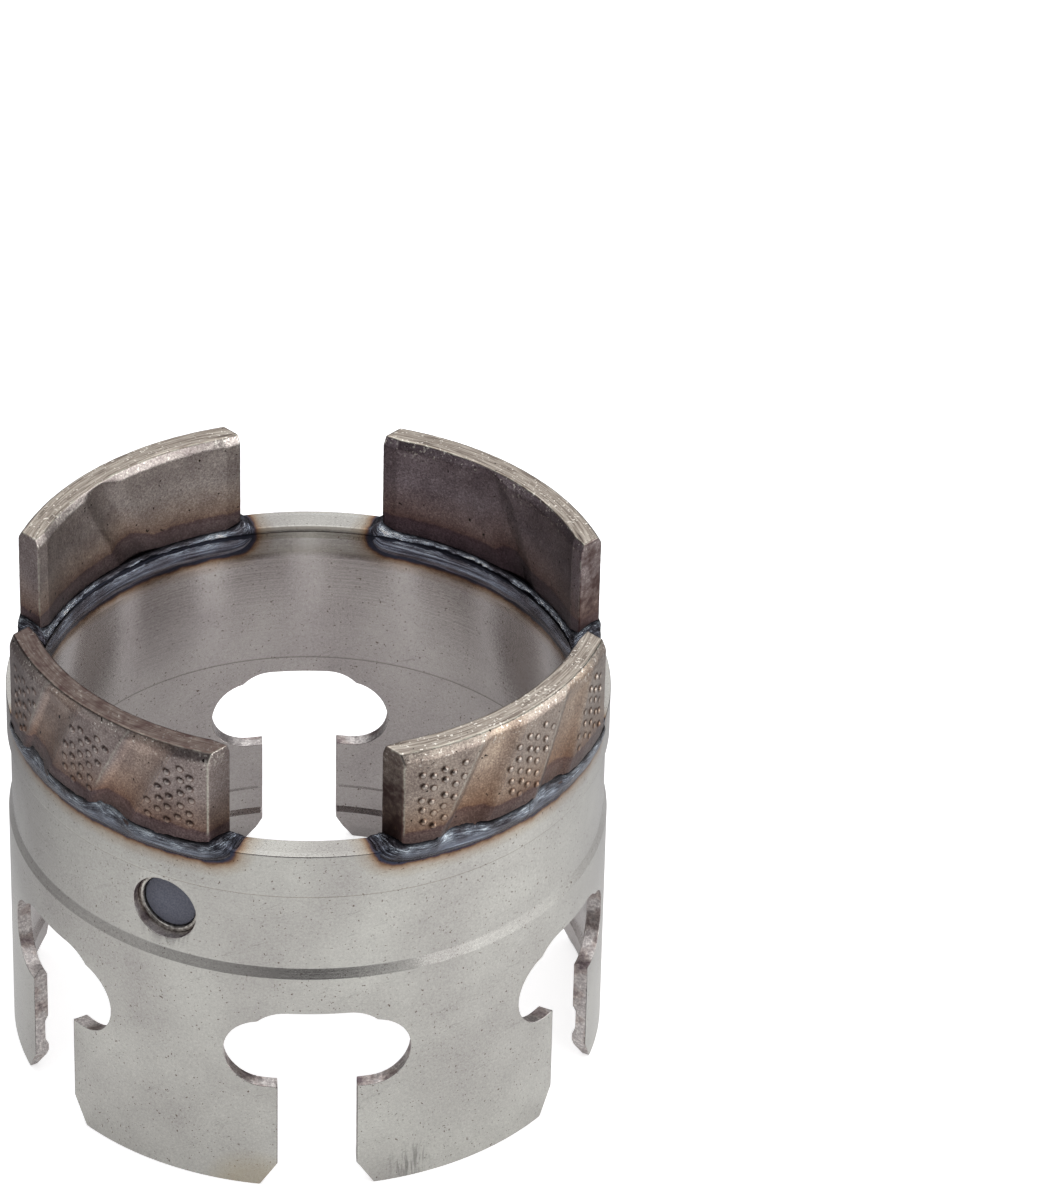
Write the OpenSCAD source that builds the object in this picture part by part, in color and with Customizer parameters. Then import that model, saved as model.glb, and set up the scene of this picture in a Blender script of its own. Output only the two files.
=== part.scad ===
// Crown ring of a core drill bit: a turned steel ring with six keyhole slots
// around its skirt, four diamond segments welded on its rim and a small insert
// pressed into a pocket in its side. Z is the drilling axis and the cutting
// faces look up. The origin is on the axis, level with the foot of the skirt,
// and one keyhole faces -Y.

/* [Ring body] */
// Outside diameter of the skirt and of the land under the rim
body_d = 51.6; // [40:0.2:80]
// Height of the ring from the foot of the skirt to the rim
body_h = 34.8; // [32:0.2:45]
// Wall of the ring between the shoulder and the rim
body_wall = 2.7; // [2.4:0.05:3.2]
// Height of that thick wall, from the shoulder to the rim
thick_h = 13.9; // [13:0.1:15]
// Height of the stretch under the rim that is ground a little wider
ground_h = 2.8; // [1.5:0.1:4]
// Depth of that grinding into the wall
ground_depth = 0.05; // [0.02:0.01:0.1]
// Bevel on the inner edge of the rim
rim_bevel = 0.4; // [0.2:0.05:0.5]

/* [Relief around the body] */
// Height of the land between the relief and the rim
land_h = 4.2; // [3:0.1:5]
// Height of the relief, bevel included
relief_h = 8.5; // [8:0.1:9.5]
// Depth of the relief
relief_depth = 0.3; // [0.1:0.05:0.5]
// Height of the bevel at its lower edge
relief_bevel_h = 0.95; // [0.5:0.05:1.2]

/* [Skirt] */
// Wall of the skirt
skirt_wall = 1.3; // [1.1:0.1:1.7]
// Radial width of the lead-in bevel at the foot
lead_w = 0.6; // [0.3:0.1:0.8]
// Height of the lead-in bevel
lead_h = 1.5; // [1:0.1:2]
// Height of the lower edge of the groove inside the skirt
groove_z = 3; // [2.6:0.1:3.6]
// Height of that groove, bevels included
groove_h = 3.1; // [2:0.1:4]
// Depth of that groove
groove_depth = 0.3; // [0.1:0.05:0.4]
// Height of the bevel at each side of the groove
groove_bevel_h = 0.5; // [0.3:0.05:0.8]

/* [Keyholes] */
// Number of keyholes
key_n = 6; // [4:1:6]
// Width of the open slot
slot_w = 6.7; // [5:0.1:8]
// Width of the bevel at the mouth of each slot
mouth_w = 1.5; // [0.5:0.1:2]
// Height of that bevel
mouth_h = 2.4; // [1:0.1:2.6]
// Height of the middle of the cross slot
head_z = 14.05; // [13:0.05:14.5]
// Width of the cutter that milled the head
cutter_d = 6.8; // [5.6:0.1:7.2]
// Width across the cross slot
head_w = 15.8; // [14:0.2:17]
// Width across the raised middle of the head
crown_w = 12; // [9:0.2:13]
// How far the middle rises above the cross slot
crown_rise = 1; // [0.4:0.1:1.4]

/* [Segments] */
// Number of segments
seg_n = 4; // [2:1:4]
// Angle from the keyhole at -Y to the middle of the first segment
seg_angle = 42.6; // [35:0.1:55]
// Length of a segment
seg_l = 24; // [18:0.5:26]
// Height of a segment above the rim
seg_h = 9.6; // [6:0.2:12]
// How far the pads of a segment stand out of the body
seg_proud = 0.5; // [0.3:0.05:0.8]
// Thickness of a segment over its pads
seg_wall = 2.7; // [2.3:0.05:2.75]
// Radial width of the bevel along the outer top edge
out_bevel_w = 0.5; // [0.3:0.05:0.6]
// Radial width of the bevel along the inner top edge
in_bevel_w = 0.35; // [0.2:0.05:0.5]
// Height of both bevels
top_bevel_h = 0.9; // [0.5:0.05:1.2]
// Length of the bevel at each end of the inner face
end_bevel_l = 1.4; // [0.8:0.1:2]
// Depth of that bevel at the end of the segment
end_bevel_depth = 0.35; // [0.1:0.05:0.5]

/* [Flutes of the segments] */
// Distance from one flute to the next
flute_pitch = 9.8; // [8:0.1:11]
// Lean of the flutes from upright, in degrees
flute_lean = 26.5; // [20:0.5:32]
// Width of a flute
flute_w = 4.2; // [3:0.1:5]
// Depth of the flutes in the outer face
out_flute_depth = 0.42; // [0.2:0.02:0.5]
// Depth of the flute in the inner face
in_flute_depth = 0.3; // [0.1:0.05:0.35]

/* [Weld seams] */
// How far a seam runs down the outside of the ring
seam_out_h = 1.7; // [1.2:0.1:2.4]
// How far a seam runs down the bore
seam_in_h = 2.4; // [1.5:0.1:3]
// How far a seam climbs the foot of its segment
seam_climb = 0.4; // [0.2:0.05:1]
// How far a seam runs past each end of its segment
seam_past = 1.7; // [1:0.1:2.4]
// How proud a seam stands of the steel that it covers
seam_proud = 0.2; // [0.1:0.05:0.3]

/* [Insert] */
// Angle from the keyhole at -Y to the pocket
pocket_angle = -30; // [-36:1:-24]
// How far the middle of the pocket lies below the rim
pocket_drop = 7.75; // [7.6:0.05:8.2]
// Diameter of the pocket
pocket_d = 5.9; // [5:0.1:6.4]
// Depth of the pocket from the relieved wall
pocket_depth = 1.9; // [1.6:0.05:2]
// How deep the insert lies under the relieved wall
insert_sink = 0.9; // [0.5:0.05:1]
// Wall of the ring of the insert
insert_wall = 0.45; // [0.3:0.05:0.7]
// How deep the disc lies under the edge of its ring
disc_sink = 0.3; // [0.1:0.05:0.5]
// Clearance around the insert and around its disc
insert_gap = 0.05; // [0:0.01:0.1]

/* [Hidden] */
$fn = 96;

// Reach of a cutter past the face that it opens
past = 1;

body_r = body_d / 2;
bore_r = body_r - body_wall;
socket_r = body_r - skirt_wall;
socket_h = body_h - thick_h;
relief_r = body_r - relief_depth;
ground_r = bore_r + ground_depth;
ground_z = body_h - ground_h;
relief_z = body_h - land_h - relief_h;
pocket_z = body_h - pocket_drop;

seg_r = body_r + seg_proud;
seg_in_r = seg_r - seg_wall;
seg_top = body_h + seg_h;
seg_mid_z = body_h + seg_h / 2;
seam_end = seg_l / 2 + seam_past;

// Points from a to b along a line that bows out to its right by the given amount
function bow(a, b, amount, steps) =
    let (run = b - a, out = [run[1], -run[0]] / norm(run))
    [for (i = [0:steps]) let (t = i / steps) a + t * run + 4 * t * (1 - t) * amount * out];

// Points of an arc, from one angle to another
function arc(centre, radius, from, to, steps) =
    [for (i = [0:steps]) let (a = from + (to - from) * i / steps)
        centre + radius * [cos(a), sin(a)]];

// Section of the ring, from the foot of the skirt up the outside and back down the bore
module ring_section() {
    polygon([
        [socket_r + lead_w, 0],
        [body_r, 0],
        [body_r, relief_z],
        [relief_r, relief_z + relief_bevel_h],
        [relief_r, relief_z + relief_h],
        [body_r, relief_z + relief_h],
        [body_r, body_h],
        [ground_r + rim_bevel, body_h],
        [ground_r, body_h - rim_bevel],
        [ground_r, ground_z],
        [bore_r, ground_z],
        [bore_r, socket_h],
        [socket_r, socket_h],
        [socket_r, groove_z + groove_h],
        [socket_r + groove_depth, groove_z + groove_h - groove_bevel_h],
        [socket_r + groove_depth, groove_z + groove_bevel_h],
        [socket_r, groove_z],
        [socket_r, lead_h],
    ]);
}

// A level slot with round ends, as the cutter leaves it
module cutter_slot(width, height) {
    run = (width - cutter_d) / 2;
    for (side = [-1, 1])
        translate([side * run, height])
            circle(d = cutter_d);
    translate([-run, height - cutter_d / 2])
        square([2 * run, cutter_d]);
}

// Outline of one keyhole, with x across the slot and y up the ring
module keyhole() {
    cutter_slot(head_w, head_z);
    cutter_slot(crown_w, head_z + crown_rise);
    translate([-slot_w / 2, -past])
        square([slot_w, head_z + past]);
    mouth_slope = mouth_w / mouth_h;
    polygon([
        [-slot_w / 2, mouth_h],
        [-slot_w / 2 - mouth_w - past * mouth_slope, -past],
        [slot_w / 2 + mouth_w + past * mouth_slope, -past],
        [slot_w / 2, mouth_h],
    ]);
}

// Turns what is drawn along +X so that an angle of 0 points to -Y
module face(angle) {
    rotate([0, 0, angle - 90])
        children();
}

// The keyhole outline driven out through the wall along +X
module keyhole_cut() {
    translate([socket_r / 2, 0, 0])
        rotate([90, 0, 90])
            linear_extrude(body_r)
                keyhole();
}

module ring_blank() {
    rotate_extrude()
        ring_section();
}

// A round piece that lies in the pocket, from one depth to another
module pocket_round(diameter, top, bottom) {
    translate([relief_r - bottom, 0, pocket_z])
        rotate([0, 90, 0])
            cylinder(d = diameter, h = bottom - top);
}

module ring_body() {
    color([0.70, 0.69, 0.66])
        difference() {
            ring_blank();
            for (i = [0:key_n - 1])
                face(i * 360 / key_n)
                    keyhole_cut();
            face(pocket_angle)
                pocket_round(pocket_d, -past, pocket_depth);
        }
}

// One flute: a round groove that leans across a pad and follows its curve.
// The cutter is a slice of a torus whose large radius is that of the wall
// along the leaning line.
module flute(along, wall_r, depth, inside) {
    round_r = (pow(flute_w / 2, 2) + pow(depth, 2)) / (2 * depth);
    follow_r = wall_r / pow(sin(flute_lean), 2);
    reach = atan((seg_h / 2 + 2 * past) / cos(flute_lean) / follow_r);
    side = inside ? -1 : 1;
    rotate([0, 0, along / wall_r * 180 / PI])
        translate([wall_r, 0, seg_mid_z])
            rotate([-flute_lean, 0, 0])
                translate([-follow_r, 0, 0])
                    rotate([90, 0, 0])
                        rotate([0, 0, -reach])
                            rotate_extrude(angle = 2 * reach, $fn = 2400)
                                translate([follow_r + side * (round_r - depth), 0])
                                    circle(r = round_r, $fn = 96);
}

// Section of a segment between its outer and inner pads
module segment_section() {
    polygon([
        [seg_in_r, body_h],
        [seg_r, body_h],
        [seg_r, seg_top - top_bevel_h],
        [seg_r - out_bevel_w, seg_top],
        [seg_in_r + in_bevel_w, seg_top],
        [seg_in_r, seg_top - top_bevel_h],
    ]);
}

// Distance of the inner face from the middle plane of the ring, y along the segment
function inner_x(y) = sqrt(pow(seg_in_r, 2) - pow(y, 2));

// Wedge that bevels one end of the inner face
module end_bevel() {
    start = [inner_x(seg_l / 2 - end_bevel_l), seg_l / 2 - end_bevel_l];
    stop = [inner_x(seg_l / 2) + end_bevel_depth, seg_l / 2];
    far = stop + (stop - start);
    translate([0, 0, body_h - past])
        linear_extrude(seg_h + 2 * past)
            polygon([start, far, [start[0] - seg_wall, far[1]], [start[0] - seg_wall, start[1]]]);
}

// A segment that points along +X, with square ends parallel to its middle plane.
// Two flutes cross its outer face and one its inner face, between them.
module segment_form() {
    difference() {
        intersection() {
            rotate_extrude()
                segment_section();
            translate([0, -seg_l / 2, body_h - past])
                cube([2 * seg_r, seg_l, seg_h + 2 * past]);
        }
        for (side = [-1, 1])
            flute(side * flute_pitch / 2, seg_r, out_flute_depth, false);
        flute(0, seg_in_r, in_flute_depth, true);
        end_bevel();
        mirror([0, 1, 0])
            end_bevel();
    }
}

module segment(i) {
    color([0.47, 0.43, 0.40])
        face(seg_angle + i * 360 / seg_n)
            segment_form();
}

// Section of a seam: a full bead down the outside of the ring and one down its bore
module seam_section() {
    crest = body_h + seam_climb;
    knee = [ground_r - seam_proud, body_h - rim_bevel];
    steps = 4;
    polygon(concat(
        bow([body_r, body_h - seam_out_h], [seg_r, crest], seam_proud, 2 * steps),
        bow([seg_in_r, crest], knee, seam_proud / 2, steps),
        bow(knee, [ground_r, body_h - seam_in_h], seam_proud / 2, steps)
    ));
}

// Outline of a seam along the rim, with round lower corners and a slope past each end
module seam_outline() {
    corner = [seam_end - seam_in_h, body_h];
    crest = body_h + seam_climb;
    half = concat(
        arc(corner, seam_in_h, -90, 0, 12),
        [[seg_l / 2, crest]]
    );
    polygon(concat(half, [for (i = [len(half) - 1:-1:0]) [-half[i][0], half[i][1]]]));
}

// Weld metal between one segment and the rim, in the frame of that segment
module seam_form() {
    difference() {
        intersection() {
            rotate_extrude()
                seam_section();
            translate([socket_r / 2, 0, 0])
                rotate([90, 0, 90])
                    linear_extrude(seg_r)
                        seam_outline();
        }
        ring_blank();
        segment_form();
    }
}

module weld_seam(i) {
    color([0.24, 0.26, 0.30])
        face(seg_angle + i * 360 / seg_n)
            seam_form();
}

module insert_ring() {
    outer_d = pocket_d - insert_gap;
    color([0.75, 0.73, 0.70])
        face(pocket_angle)
            difference() {
                pocket_round(outer_d, insert_sink, pocket_depth);
                pocket_round(outer_d - 2 * insert_wall, insert_sink - past, pocket_depth + past);
            }
}

module insert_disc() {
    disc_d = pocket_d - 2 * insert_gap - 2 * insert_wall;
    color([0.30, 0.32, 0.36])
        face(pocket_angle)
            pocket_round(disc_d, insert_sink + disc_sink, pocket_depth);
}

ring_body();
segment(0);  // segment_1
segment(1);  // segment_2
segment(2);  // segment_3
segment(3);  // segment_4
weld_seam(0);  // weld_seam_1
weld_seam(1);  // weld_seam_2
weld_seam(2);  // weld_seam_3
weld_seam(3);  // weld_seam_4
insert_ring();
insert_disc();
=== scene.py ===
# Dresses the crown ring of a core drill bit: a satin steel ring with keyholes, four
# sintered diamond segments, their rippled weld beads and a small insert in the side.
# Shapes are modelled in millimetres and brought to metres when they are finished.

import math
import random

import bmesh
import bpy
import numpy as np
from mathutils import Matrix, Vector, noise


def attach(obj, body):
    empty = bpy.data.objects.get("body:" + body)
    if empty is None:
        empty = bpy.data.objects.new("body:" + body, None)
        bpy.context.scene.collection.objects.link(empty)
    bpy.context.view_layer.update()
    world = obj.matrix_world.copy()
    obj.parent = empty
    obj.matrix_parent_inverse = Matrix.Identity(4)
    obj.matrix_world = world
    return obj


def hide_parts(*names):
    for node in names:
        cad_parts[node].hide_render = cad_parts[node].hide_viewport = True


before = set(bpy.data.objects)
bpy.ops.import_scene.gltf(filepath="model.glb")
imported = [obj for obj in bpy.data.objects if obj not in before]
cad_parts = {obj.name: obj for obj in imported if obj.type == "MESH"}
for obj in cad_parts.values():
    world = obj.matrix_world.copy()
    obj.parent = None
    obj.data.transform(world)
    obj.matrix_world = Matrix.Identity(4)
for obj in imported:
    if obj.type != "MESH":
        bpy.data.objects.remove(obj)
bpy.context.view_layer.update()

MM = 0.001

# Ring: radii and heights
BODY_R = 25.8
RELIEF_R = 25.5
BORE_R = 23.1
GROUND_R = 23.15
SOCKET_R = 24.5
RIM_Z = 34.8
GROUND_Z = 32.0
SOCKET_Z = 20.9
RELIEF_Z = 22.1
RELIEF_BEVEL = 0.95
LAND_Z = 30.6
RIM_CHAMFER = 0.4
GROUND_SLOPE = 0.25
GROOVE_DEPTH = 0.3
GROOVE_LOW_Z = 3.5
GROOVE_HIGH_Z = 5.6
GROOVE_SLOPE = 0.5
FOOT_BEVEL = 0.6
FOOT_BEVEL_H = 1.5
RING_STEPS = 384
TINT_ROW = 0.25

# Marks on the ring: the radius that parts the outer face from the bore, the heights that
# the tones are drawn between, a dried stain and a grey smear
OUTER_FROM_R = 25.2
TONES_LOW = 20.0
TONES_HIGH = 35.0
STAIN_AT = (-5.4, -25.2, -0.8)
SMEAR_AT = (8.0, -24.6, 1.4)

# Keyholes, with x across the slot and z up the ring
KEY_COUNT = 6
SLOT_HALF = 3.35
MOUTH_W = 1.5
MOUTH_H = 2.4
HEAD_Z = 14.05
HEAD_REACH = 4.5
CROWN_Z = 15.05
CROWN_REACH = 2.6
CUTTER_R = 3.4
CUT_FROM_R = 12
CUT_LENGTH = 16

# Segments: each points along its own turn from -Y
SEGMENT_TURNS = {f"segment_{i + 1}": 42.6 + 90 * i for i in range(4)}
SEG_L = 24.0
SEG_OUT_R = 26.3
SEG_IN_R = 23.6
SEG_TOP = 44.4
SEG_END = SEG_L / 2
SEG_WALL = SEG_OUT_R - SEG_IN_R
SEG_H = SEG_TOP - RIM_Z
SEG_MID_Z = (RIM_Z + SEG_TOP) / 2
SEG_EASE = 0.16
FLUTE_AT = 4.9
OUT_FLUTES = (-FLUTE_AT, FLUTE_AT)
FLUTE_HALF = 2.1
FLUTE_LEAN = math.radians(26.5)
OUT_FLUTE = 0.42
OUT_FLUTE_WALL = 0.2
IN_FLUTE = 0.3
IN_FLUTE_WALL = 0.4
BEVEL_H = 0.9
OUT_BEVEL = 0.5
IN_BEVEL = 0.35
CELL = 0.09

# How far the inner face leans back at each end of a segment, and over what length
END_TAPER = 0.35
END_REACH = 1.4

# Height of the weld's heat tint on a pad, and how much higher it stands in a flute
TINT_Z = 36.55
TINT_RISE = 0.85

# Diamonds that show as nubs in the outer pads. Each pad has the place of its first
# column, its number of columns, and its lowest height in even and in odd columns.
NUB_R = 0.32
NUB_H = 0.22
NUB_PADS = ((-10.8, 5, 37.3, 36.9), (-2.1, 6, 37.3, 36.7), (6.95, 5, 37.0, 37.55))
NUB_ROWS = 5
NUB_ACROSS = 0.98
NUB_UP = 1.21
NUB_TOP = 42.8
NUB_STRAY = 0.08

# Painted shadow behind the upper left side of each nub: where its middle is from the nub's, and its radius
NUB_SHADOW_LEFT = 0.16
NUB_SHADOW_UP = 0.14
NUB_SHADOW_R = 0.34

# Colour casts of the outer and inner face of each segment, partly the furnace's tint and partly
# painted light that makes whole faces lighter or darker, and the one with a dull top
SEGMENT_CASTS_AND_LIGHT = (
    ("#d9d3cb", "#dfd9dc"),
    ("#dfd9dc", "#bfb8c4"),
    ("#dfd9dc", "#ffffff"),
    ("#dbd5d5", "#dfd9dc"),
)
DULL_SEGMENT = 4

# Weld beads: their ends and toes on the ring, and the core that they close on
BEAD_END_OUT = 13.8
BEAD_END_IN = 12.6
TOE_OUT_Z = 33.25
TOE_IN_Z = 32.4
TOE_ROUND = 1.8
BEAD_CORE_R = 24.7
BEAD_CORE_Z = 34.2
BEAD_COLUMNS = 480
BEAD_ROWS = 26

# Melt of the beads: the height of its ripples, where it meets the segments and its climb
# into the flutes, where its burnt ends start and how soon they are full, and what a row
# of the mesh counts for in its patterns
RIPPLE = 0.05
MELT_TOP_Z = 35.3
CLIMB = 0.75
BURNT_FROM = 11.6
BURNT_OVER = 0.8
ROW_STEP = 0.12

# Insert
POCKET_TURN = -30.0
POCKET_Z = 27.05
POCKET_R = 2.95
POCKET_DEPTH = 1.9
INSERT_SINK = 0.9
SLEEVE_R = 2.92
SLEEVE_BORE_R = 2.475
DISC_R = 2.42
DISC_SINK = 0.3


# Helpers

def linear(hex_colour):
    """An sRGB hex value as the linear colour that a shader takes."""
    channels = [int(hex_colour[i:i + 2], 16) / 255 for i in (1, 3, 5)]
    return [c / 12.92 if c <= 0.04045 else ((c + 0.055) / 1.055) ** 2.4 for c in channels] + [1.0]


def add(tree, kind, settings=None, inputs=None):
    """Adds a node. An input that is a node or a socket is linked, a hex value is a colour."""
    new = tree.nodes.new(kind)
    for name, value in (settings or {}).items():
        if name == "stops":
            ramp = new.color_ramp
            while len(ramp.elements) < len(value):
                ramp.elements.new(1.0)
            for element, (place, colour) in zip(ramp.elements, value):
                element.position = place
                element.color = linear(colour)
        else:
            setattr(new, name, value)
    for key, value in (inputs or {}).items():
        if isinstance(value, bpy.types.Node):
            value = value.outputs[0]
        if isinstance(value, bpy.types.NodeSocket):
            tree.links.new(value, new.inputs[key])
        elif isinstance(value, str):
            new.inputs[key].default_value = linear(value)
        else:
            new.inputs[key].default_value = value
    return new


def new_material(name):
    """An empty node material, and the tree to build it in."""
    material = bpy.data.materials.new(name)
    material.use_nodes = True
    material.node_tree.nodes.clear()
    return material, material.node_tree


def millimetres(tree):
    """Place on the piece in millimetres, for patterns whose scale is waves per millimetre."""
    where = add(tree, "ShaderNodeTexCoord").outputs["Object"]
    return add(tree, "ShaderNodeVectorMath", {"operation": "SCALE"}, {0: where, "Scale": 1 / MM})


def by_height(tones):
    """Stops of a ramp from heights on the ring."""
    return [((z - TONES_LOW) / (TONES_HIGH - TONES_LOW), colour) for z, colour in tones]


def outward(turn):
    """Unit vector out of the axis at a turn in degrees from -Y towards +X."""
    return Vector((math.sin(math.radians(turn)), -math.cos(math.radians(turn)), 0))


def place_of(turn):
    """Turns a shape drawn along +X, with y sideways, so that it points to a turn."""
    return Matrix.Rotation(math.radians(turn - 90), 4, "Z")


def finish_piece(bm, name, materials):
    """Makes the object of a bmesh in millimetres."""
    mesh = bpy.data.meshes.new(name)
    bm.to_mesh(mesh)
    bm.free()
    mesh.transform(Matrix.Scale(MM, 4))
    for material in materials:
        mesh.materials.append(material)
    piece = bpy.data.objects.new(name, mesh)
    bpy.context.scene.collection.objects.link(piece)
    return piece


def settle(piece):
    """Applies the modifiers of a piece."""
    view = bpy.context.evaluated_depsgraph_get()
    mesh = bpy.data.meshes.new_from_object(piece.evaluated_get(view))
    piece.modifiers.clear()
    piece.data = mesh


def points_of(mesh):
    """The vertices of a mesh in millimetres, as an array."""
    co = np.empty(len(mesh.vertices) * 3, np.float32)
    mesh.vertices.foreach_get("co", co)
    return co.reshape(-1, 3).astype(float) / MM


def set_points(mesh, co):
    """Moves the vertices of a mesh to points in millimetres."""
    mesh.vertices.foreach_set("co", (co * MM).astype(np.float32).ravel())
    mesh.update()


def write_attribute(mesh, name, values):
    """Stores one number, or one vector, for each vertex."""
    kind, key = ("FLOAT", "value") if values.ndim == 1 else ("FLOAT_VECTOR", "vector")
    mesh.attributes.new(name, kind, "POINT").data.foreach_set(key, values.astype(np.float32).ravel())


def rough_field(points, size, seed):
    """Smooth noise from -1 to 1 at points in millimetres, with lumps of the given size."""
    shift = Vector((seed * 17.3, seed * -9.1, seed * 5.7))
    return np.array([noise.noise(Vector(p) / size + shift) for p in points])


def smooth_step(low, high, x):
    """Rises softly from 0 at low to 1 at high."""
    t = np.clip((x - low) / (high - low), 0, 1)
    return t * t * (3 - 2 * t)


def soft_least(a, b, width):
    """The smaller of two heights, rounded where they cross."""
    h = np.clip(0.5 + 0.5 * (b - a) / width, 0, 1)
    return b + (a - b) * h - width * h * (1 - h)


def past_bead(y, z, end, toe_z):
    """Distance in millimetres from the edge of a bead on the ring, negative under it."""
    across = np.maximum(np.abs(y) - (end - TOE_ROUND), 0)
    down = np.maximum(toe_z + TOE_ROUND - z, 0)
    return np.hypot(across, down) - TOE_ROUND


def nearest_bead(co, toe_z):
    """Distance from the nearest of the four beads."""
    found = np.full(len(co), 99.0)
    through = np.clip((np.hypot(co[:, 0], co[:, 1]) - BORE_R) / (BODY_R - BORE_R), 0, 1)
    end = BEAD_END_IN + (BEAD_END_OUT - BEAD_END_IN) * through
    for turn in SEGMENT_TURNS.values():
        out, side = outward(turn), outward(turn + 90)
        facing = co[:, 0] * out.x + co[:, 1] * out.y > 0
        y = co[:, 0] * side.x + co[:, 1] * side.y
        found = np.where(facing, np.minimum(found, past_bead(y, co[:, 2], end, toe_z)), found)
    return found


# Materials

def satin_steel():
    """Turned carbon steel with a satin skin. It reads as an even cool grey whose reflections
    are drawn out upright by the turning lines, with small dark specks, hairline scratches,
    a dry stain at the foot, and thin blue to straw colours beside the welds."""
    material, tree = new_material("satin_turned_steel")
    mm = millimetres(tree)
    # Turning lines and grain of under 0.1 mm, drawn at 0.2 mm so that they show, and faint
    # clouds of 8 mm
    lines_at = add(tree, "ShaderNodeVectorMath", {"operation": "MULTIPLY"}, {0: mm, 1: (0.03, 0.03, 5.0)})
    lines = add(tree, "ShaderNodeTexNoise", {}, {"Vector": lines_at, "Scale": 1.0, "Detail": 3.0})
    grain = add(tree, "ShaderNodeTexNoise", {},
                {"Vector": mm, "Scale": 5.0, "Detail": 3.0, "Roughness": 0.8})
    cloud = add(tree, "ShaderNodeTexNoise", {}, {"Vector": mm, "Scale": 0.12, "Detail": 3.0})
    mottled = add(tree, "ShaderNodeMath", {"operation": "MULTIPLY_ADD"}, {0: grain, 1: 1.1, 2: cloud})
    tone = add(tree, "ShaderNodeMapRange", {}, {0: mottled, 1: 0.65, 2: 1.45})
    base = add(tree, "ShaderNodeValToRGB", {"stops": [(0.0, "#a39f9c"), (1.0, "#d0d0c9")]}, {0: tone})

    # Tones by height: outside a line under the land, and in the bore a line over the
    # socket, a duller ground band and a chamfer at the rim darkened as painted shade
    parts = add(tree, "ShaderNodeSeparateXYZ", {}, {0: mm})
    height_at = add(tree, "ShaderNodeMapRange", {}, {0: parts.outputs["Z"], 1: TONES_LOW, 2: TONES_HIGH})
    outside = add(tree, "ShaderNodeValToRGB", {"stops": by_height([
        (LAND_Z - 0.25, "#ffffff"), (LAND_Z - 0.01, "#c6bdb4"), (LAND_Z + 0.125, "#ffffff")])},
        {0: height_at})
    inside = add(tree, "ShaderNodeValToRGB", {"stops": by_height([
        (SOCKET_Z - 0.15, "#fff9fd"), (SOCKET_Z + 0.03, "#b9b3b1"), (SOCKET_Z + 0.225, "#fff9fd"),
        (GROUND_Z - 0.225, "#fff9fd"), (GROUND_Z + 0.3, "#e2ddda"), (RIM_Z - 1.15, "#f4f1f3"),
        (RIM_Z - 1.0, "#d9d6d2"), (RIM_Z - 0.475, "#d9d6d2"), (RIM_Z - 0.325, "#a8a4a0"),
        (RIM_Z - 0.07, "#a8a4a0"), (RIM_Z - 0.0175, "#ffffff")])}, {0: height_at})
    flat = add(tree, "ShaderNodeVectorMath", {"operation": "MULTIPLY"}, {0: mm, 1: (1.0, 1.0, 0.0)})
    radius = add(tree, "ShaderNodeVectorMath", {"operation": "LENGTH"}, {0: flat}).outputs["Value"]
    outer = add(tree, "ShaderNodeMath", {"operation": "GREATER_THAN"}, {0: radius, 1: OUTER_FROM_R})
    marks = add(tree, "ShaderNodeMix", {"data_type": "RGBA"},
                {0: outer, 6: inside.outputs[0], 7: outside.outputs[0]})
    lined = add(tree, "ShaderNodeMix", {"data_type": "RGBA", "blend_type": "MULTIPLY"},
                {0: 1.0, 6: base.outputs[0], 7: marks.outputs["Result"]})

    # Dark specks of 0.2 mm
    spots = add(tree, "ShaderNodeTexNoise", {},
                {"Vector": mm, "Scale": 4.6, "Detail": 1.0, "Roughness": 0.4})
    spot = add(tree, "ShaderNodeMapRange", {}, {0: spots, 1: 0.7, 2: 0.75, 3: 0.0, 4: 0.85})
    speckled = add(tree, "ShaderNodeMix", {"data_type": "RGBA"},
                   {0: spot, 6: lined.outputs["Result"], 7: "#5d4a40"})
    # Hairline scratches some 10 mm long, where a slanting noise crosses one level
    slanted = add(tree, "ShaderNodeVectorRotate", {"rotation_type": "EULER_XYZ"},
                  {0: mm, "Rotation": (0.5, 0.35, 0.2)})
    drawn = add(tree, "ShaderNodeVectorMath", {"operation": "MULTIPLY"}, {0: slanted, 1: (0.07, 0.1, 0.9)})
    strokes = add(tree, "ShaderNodeTexNoise", {}, {"Vector": drawn, "Scale": 1.0, "Detail": 2.0})
    level = add(tree, "ShaderNodeMath", {"operation": "SUBTRACT"}, {0: strokes, 1: 0.56})
    off_level = add(tree, "ShaderNodeMath", {"operation": "ABSOLUTE"}, {0: level})
    scratch = add(tree, "ShaderNodeMapRange", {}, {0: off_level, 1: 0.0, 2: 0.0035, 3: 0.3, 4: 0.0})
    scratched = add(tree, "ShaderNodeMix", {"data_type": "RGBA"},
                    {0: scratch, 6: speckled.outputs["Result"], 7: "#6b6764"})
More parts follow.
